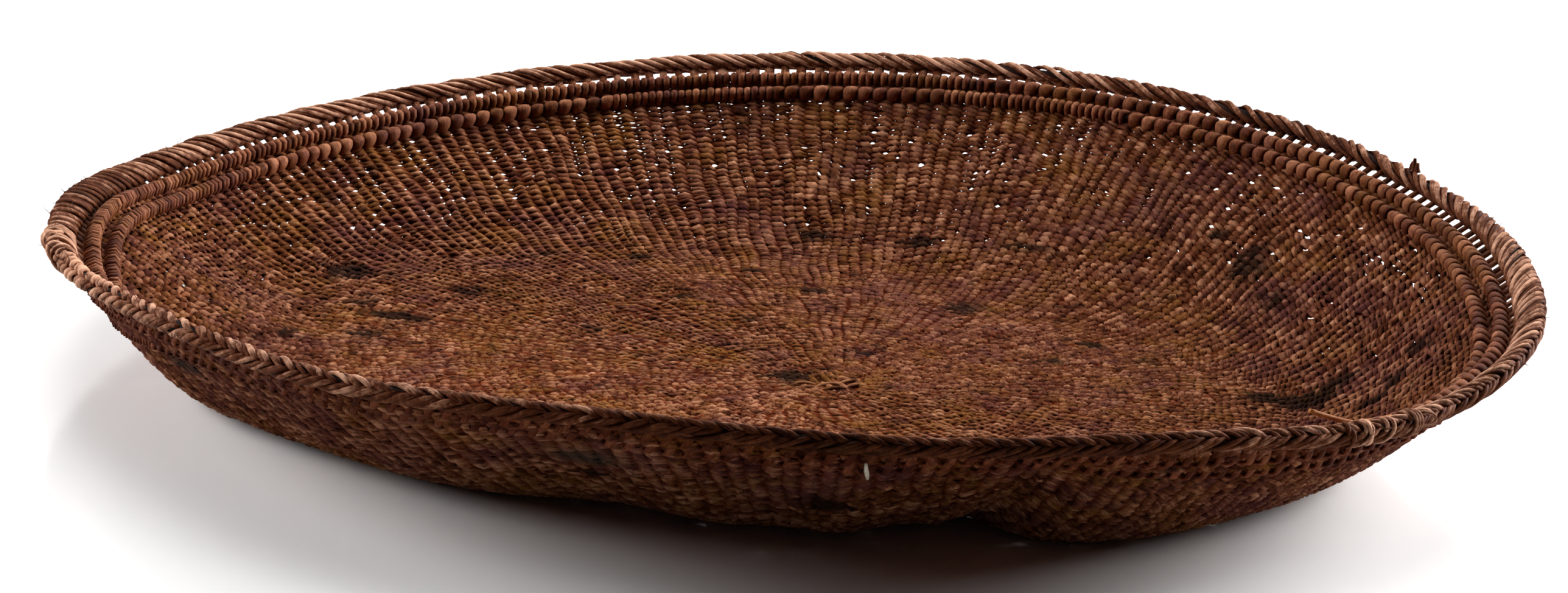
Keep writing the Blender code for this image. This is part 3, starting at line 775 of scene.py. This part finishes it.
def make_hoop(name, distance_in, material, rod_material, doubled):
    """A rod on the inner side of the warps, bound on by one strand that goes round rod and warp."""
    share = share_in_from_rim(distance_in)
    nodes = [f"{name}_hoop", f"{name}_lashing"]
    wrap = wrapping_run(share, doubled)
    piece(f"{name}_hoop_wrapping", [wrap], 8, material, nodes)
    point, _, up, _ = tray(share, TURN * np.arange(512) / 512)
    lift = WARP_THICKNESS / 2 + GAP + HOOP_DIAMETER / 2
    radius = HOOP_DIAMETER / 2 - 0.9 * MM
    rod = run(point + up * lift, up, radius, radius, closed=True, tone=0.4, crown=0.4, stain=0)
    piece(f"{name}_hoop_rod", [rod], 8, rod_material, nodes[:1])


def twig(places, radius, tone=0.5):
    """A loose strand through a few points, rounded off by a curve through them, and thinner at its end."""
    places = np.asarray(places)
    share = np.linspace(0, len(places) - 1, 4 * len(places))
    centres = np.stack([np.interp(share, np.arange(len(places)), places[:, axis]) for axis in range(3)], -1)
    for _ in range(3):
        centres[1:-1] = (centres[:-2] + 2 * centres[1:-1] + centres[2:]) / 4
    taper = np.linspace(1, 0.45, len(centres)) * radius
    return run(centres, np.array((0.31, 0.2, 0.93)), taper, taper, tone=tone, crown=1, stain=0)


def make_mend_stitch():
    """Pale cotton thread across both lashings, on the outer side."""
    thread = plant_fibre("pale_cotton_thread", "A89C86", "CFC5B2", "EDE6D8", 0.7, patchy=0)
    distance = np.linspace(UPPER_HOOP_IN - 1.6 * MM, LOWER_HOOP_IN + 1.2 * MM, 9)
    angle = np.radians(MEND_STITCH_ANGLE) + np.linspace(0.1, 0.3, 9) * WARP_PITCH
    point, _, up, _ = tray(share_in_from_rim(distance), angle)
    depth = np.interp(np.arange(9), (0, 1, 7, 8), (2.6, 4.45, 4.4, 3.2)) * MM
    wide = np.array((0.5, 0.75, 0.85, 0.8, 0.82, 0.7, 0.6, 0.5, 0.35)) * MM
    stitch = run(point - up * depth[:, None], up, 0.4 * MM, wide, tone=0.6, crown=1, stain=0)
    piece("mend_thread", [stitch], 8, thread, ["mend_stitch"])


def make_rim_tie(material):
    """Strand wound round the plait at its splice, with a loop on the outer side."""
    winds = np.linspace(0, 3.3, 60)
    angle = RIM_TIE_MIDDLE + (winds - 1.6) * 1.45 * MM / RIM_RADIUS
    lift = np.interp(winds, (0, 0.2, 3.1, 3.3), (3.0, 4.3, 4.4, 3.2)) * MM
    centres, thick = rim_path(angle, TURN * winds, lift)
    ties = [run(centres, thick, 0.5 * MM, 0.85 * MM, tone=0.6, crown=0.9, stain=0)]
    # The splice goes on to the left of the tie, in looser turns that lean both ways
    for degrees, turns, spread, lean, tone in (
            (317.4, 1.3, 2.6, 1.8, 0.8), (315.9, 1.5, -1.2, -2.2, 0.95), (314.9, 1.2, 2.2, 2.6, 0.7),
            (313.9, 1.1, 1.5, -1.6, 0.3)):
        winds = np.linspace(-0.2, turns, 40)
        angle = math.radians(degrees)
        angle = angle + ((winds - turns / 2) * spread + lean * np.cos(TURN * winds)) * MM / RIM_RADIUS
        lift = np.interp(winds, (-0.2, 0.1, turns - 0.2, turns), (2.4, 3.9, 4.2, 2.6)) * MM
        centres, thick = rim_path(angle, TURN * winds, lift)
        ties.append(run(centres, thick, 0.55 * MM, 0.9 * MM, tone=tone, crown=0.95, stain=0))
    piece("splice_tie", ties, 8, material, ["rim_tie"], 2)
    point, out, up, along = tray_at(1.0, RIM_TIE_MIDDLE + 3 * MM / RIM_RADIUS)
    loop = [point + (out * a + up * b + along * c) * MM for a, b, c in (
        (3.2, 1.5, 0), (5.2, 0.5, 2), (5.6, -1.2, 4.6), (4.6, -3, 5.4), (4.1, -4, 3), (4, -3.6, 0.5),
        (2.6, -2.4, -1.4))]
    piece("splice_loop", [twig(loop, 0.7 * MM, 0.7)], 8, material, ["rim_tie"])


def make_splice_end(material):
    """The tie's loose end, along the inner side of the plait to the left, and lifting off it."""
    start = RIM_TIE_MIDDLE - 2.9 * MM / RIM_RADIUS
    angle = start - np.linspace(0, LOOSE_END_LENGTH, 24) / RIM_RADIUS
    lift = np.interp(np.arange(24), (0, 12, 23), (4.6, 4.8, 10.5)) * MM
    turn = np.radians(np.interp(np.arange(24), (0, 12, 23), (120, 112, 98)))
    centres, thick = rim_path(angle, turn, lift)
    width = np.linspace(1.1, 0.8, 24) * MM
    end = run(centres, thick, 0.8 * MM, width, tone=0.8, crown=1, stain=0)
    piece("splice_loose_end", [end], 8, material, ["splice_end"])


def make_border_end(material):
    """The plait's last strands, knotted round its start at the left end."""
    runs = []
    for degrees, winds, spread, lift, wide, tone in (
            (192.5, 2.6, 3.4, 3.7, 1.3, 0.85), (196.5, 2.2, 4.6, 4.2, 1.5, 0.95),
            (199.5, 1.7, -3.8, 4.0, 1.2, 0.7)):
        turns = np.linspace(-0.1, winds, 46)
        angle = math.radians(degrees) + (turns - winds / 2) * spread * MM / RIM_RADIUS
        swell = np.interp(turns, (-0.1, 0.15, winds - 0.25, winds), (lift - 1.6, lift, lift, lift - 1.6))
        centres, thick = rim_path(angle, TURN * turns, swell * MM)
        runs.append(run(centres, thick, 0.75 * MM, wide * MM, tone=tone, crown=0.95, stain=0))
    point, out, up, along = tray_at(1.0, math.radians(196))
    for reach, width, tone in ((6.6, 4.6, 0.9), (5.4, 2.6, 0.7)):
        loop = [point + (out * a + up * b + along * c) * MM for a, b, c in (
            (2.4, 2.6, -width), (reach - 1, 1.4, -width * 0.8), (reach, -0.6, 0),
            (reach - 1, -2.2, width * 0.8), (2.4, -3, width))]
        runs.append(twig(loop, 1.0 * MM, tone))
    piece("border_end_knot", runs, 8, material, ["rim_plait"], 2)


def make_stray_tips(material):
    """A warp end that stands up out of the plait at the right, with two broken ones beside it."""
    runs = []
    for shift, height, lean, radius in ((0, 5.2, 0.15, 1.5), (-0.4, 3.9, 0.1, 1.4), (0.5, 3.4, -0.1, 1.3)):
        point, out, up, along = tray_at(1.0, math.radians(STRAY_TIP_ANGLE + shift))
        foot = point + unit(up + out) * (RIM_PLAIT_DIAMETER / 2 - 0.6 * MM)
        aim = np.array((0, 0, 1)) + along * lean
        bend = along * 0.5 * MM
        places = [foot, foot + aim * height * 0.5 * MM + bend, foot + aim * height * MM]
        runs.append(twig(places, radius * MM, 0.3))
    piece("stray_warp_tips", runs, 6, material, ["stray_tip"], 2)


def make_frays(material):
    """Fine broken fibres that stand off the plait and the weave."""
    runs = []
    for index in range(BROKEN_FIBRES):
        on_rim = index % 3 > 0
        angle = DRAW.uniform(0, TURN)
        share = 1.0 if on_rim else DRAW.uniform(0.25, 0.97)
        side = 1 if DRAW.uniform() < 0.7 else -1
        point, out, up, along = tray_at(share, angle)
        if on_rim:
            turn = DRAW.uniform(-1.2, 3.0)
            away = out * math.cos(turn) + up * math.sin(turn)
            foot = point + away * RIM_PLAIT_DIAMETER / 2
        else:
            away = up * side
            foot = point + away * 1.5 * MM
        flat = along * DRAW.choice((-1, 1)) + out * DRAW.uniform(-0.6, 0.6)
        length = DRAW.uniform(1.5, 5) * MM
        rise = DRAW.uniform(0.1, 0.5)
        tip = foot + (flat + away * rise) * length
        middle = foot + (flat * 0.5 + away * rise * 0.8) * length
        radius = DRAW.uniform(0.1, 0.2) * MM
        runs.append(twig([foot - away * 0.5 * MM, middle, tip], radius, DRAW.uniform(0, 0.5)))
    piece("broken_fibres", runs, 4, material, ["bare_warps"], 20)


def make_start_knot(material):
    """The first warps cross here in two layers, under the first rows."""
    runs = []
    for index in range(8):
        offset = ((index % 4) - 1.5) * 2.7 * MM
        turn = 0.4 + (index // 4) * math.pi / 2
        across = np.array((math.cos(turn), math.sin(turn), 0))
        beside = np.array((-math.sin(turn), math.cos(turn), 0))
        centre = START_OFFSET - OUTLINE_MIDDLE + beside * offset
        steps = np.linspace(-13, 13, 14)[:, None] * MM
        lift = 1.1 * MM * (1 if index < 4 else 0.6)
        height = WEAVE_THICKNESS / 2 + lift * np.cos(steps * 300 + index * math.pi)
        centres = centre + across * steps + height * np.array((0, 0, 1))
        tone = DRAW.uniform()
        runs.append(run(centres, np.array((0, 0, 1)), 0.6 * MM, 1.25 * MM, tone=tone, crown=0.9, stain=0))
    piece("crossed_first_warps", runs, 6, material, ["start_knot"], 2)


def make_table():
    """Pale glossy table, which the camera sees brighter than it lights the tray, as an overexposed sweep."""
    bpy.ops.object.select_all(action="DESELECT")
    bpy.ops.mesh.primitive_plane_add(size=14, location=(0, 3, 0))
    table = bpy.context.active_object
    table.name = "pale_table"
    material = bpy.data.materials.new("white_gloss_laminate")
    material.use_nodes = True
    tree = material.node_tree
    shader = tree.nodes["Principled BSDF"]
    shader.inputs["Base Color"].default_value = (0.8, 0.8, 0.8, 1)
    shader.inputs["Roughness"].default_value = 0.12
    extra = add(tree, "BsdfDiffuse", {"Color": (0.52, 0.52, 0.52, 1)})
    path = add(tree, "LightPath")
    camera_only = add(tree, "MixShader", {0: path.outputs["Is Camera Ray"], 2: extra.outputs[0]})
    whole = add(tree, "AddShader", {0: shader.outputs[0], 1: camera_only.outputs[0]})
    tree.links.new(whole.outputs[0], tree.nodes["Material Output"].inputs["Surface"])
    table.data.materials.append(material)


def make_surround():
    """White wherever the camera or a reflection looks past the table, but hardly a light on the tray."""
    world = bpy.data.worlds.new("white_surround")
    world.use_nodes = True
    bpy.context.scene.world = world
    tree = world.node_tree
    path = add(tree, "LightPath")
    seen = add(tree, "Math", {0: path.outputs["Is Camera Ray"], 1: path.outputs["Is Glossy Ray"]})
    seen = add(tree, "Math", {0: seen.outputs[0], 1: path.outputs["Is Transmission Ray"]}, use_clamp=True)
    dim = add(tree, "Background", {"Color": (1, 1, 1, 1), "Strength": 0.01})
    white = add(tree, "Background", {"Color": (1, 1, 1, 1), "Strength": 1.0})
    mixed = add(tree, "MixShader", {0: seen.outputs[0], 1: dim.outputs[0], 2: white.outputs[0]})
    tree.links.new(mixed.outputs[0], tree.nodes["World Output"].inputs["Surface"])


def make_lights():
    """Broad soft lights above and behind, at the left, and at the right: place, aim, size and watts."""
    lights = (("overhead_softbox", (0, 0.95, 1.5), (0, 0.05, 0), 1.7, 31),
              ("left_softbox", (-1.8, 0.2, 0.75), (0, 0, 0.03), 1.0, 36),
              ("right_softbox", (1.6, 0.9, 0.75), (0, 0, 0.03), 1.0, 74))
    for name, place, aim, size, power in lights:
        data = bpy.data.lights.new(name, "AREA")
        data.shape = "SQUARE"
        data.size = size
        data.energy = power
        light = bpy.data.objects.new(name, data)
        bpy.context.scene.collection.objects.link(light)
        away = unit(np.array(place) - np.array(aim))
        right = unit(np.cross((0, 1, 0) if abs(away[2]) > 0.9 else (0, 0, 1), away))
        light.matrix_world = placed(right, np.cross(away, right), away, place)


def placed(right, up, back, place):
    """A 4 by 4 matrix from three axes and a place."""
    return Matrix([[right[i], up[i], back[i], place[i]] for i in range(3)] + [[0, 0, 0, 1]])


def make_camera():
    """Seen from the front, 15 degrees up, rolled a little."""
    distance, elevation, roll = 1.7, math.radians(15.0), math.radians(4.2)
    target = np.array((1.8 * MM, 0, 31.6 * MM)) - OUTLINE_MIDDLE
    back = np.array((0, -math.cos(elevation), math.sin(elevation)))
    level_up = np.array((0, math.sin(elevation), math.cos(elevation)))
    level_right = np.array((1, 0, 0))
    right = level_right * math.cos(roll) + level_up * math.sin(roll)
    up = level_up * math.cos(roll) - level_right * math.sin(roll)
    data = bpy.data.cameras.new("photo_camera")
    data.sensor_width = 36
    data.lens = 104.14
    data.clip_start = 0.05
    camera = bpy.data.objects.new("photo_camera", data)
    bpy.context.scene.collection.objects.link(camera)
    camera.matrix_world = placed(right, up, back, target + distance * back)
    bpy.context.scene.camera = camera


make_camera()
# Peeled roots, twined and soaked with use: the most mottled of all, and dull
weft = plant_fibre(
    "twined_root_strand", "2A0E05", "704029", "C8906E", 0.75, patchy=0.9, spread=1.1, shine=0.01)
# Split shoots laid flat side by side: smoother and more even
hoop_wrap = plant_fibre(
    "split_shoot_wrapping", "30140A", "713D26", "B87C5C", 0.55, patchy=0.6, spread=1.0, shine=0.04)
# Whole shoot ends, pale on their crowns partly from polish by hands and partly as painted highlight
rim_strand = plant_fibre(
    "plaited_shoot", "26100A", "653720", "E2AE90", 0.5, patchy=0.15, spread=1.2, shine=0.02)
# Near-black painted shade for the shoots that lie out of the light, inside roll and hoops
dark_core = plant_fibre("shaded_inner_shoot", "150B06", "1F1009", "2A1A0D", 0.8, patchy=0.2, shine=0.1)
# The newer strand of the splice, still orange
orange_shoot = plant_fibre(
    "orange_splice_strand", "8A4A1C", "B4703A", "D89C62", 0.5, patchy=0.1, shine=0.05)
make_weft(weft)
make_rows_between_hoops(weft)
make_warps(weft)
make_rim(rim_strand)
make_rim_core(dark_core)
make_hoop("lower", LOWER_HOOP_IN, hoop_wrap, dark_core, doubled=((58, 76), (92, 108), (148, 212)))
make_hoop("upper", UPPER_HOOP_IN, hoop_wrap, dark_core, doubled=((72, 212),))
make_start_knot(weft)
make_mend_stitch()
make_rim_tie(rim_strand)
make_splice_end(orange_shoot)
make_border_end(rim_strand)
make_stray_tips(rim_strand)
make_frays(rim_strand)
make_table()
make_surround()
make_lights()
bpy.context.scene.view_settings.view_transform = "Standard"
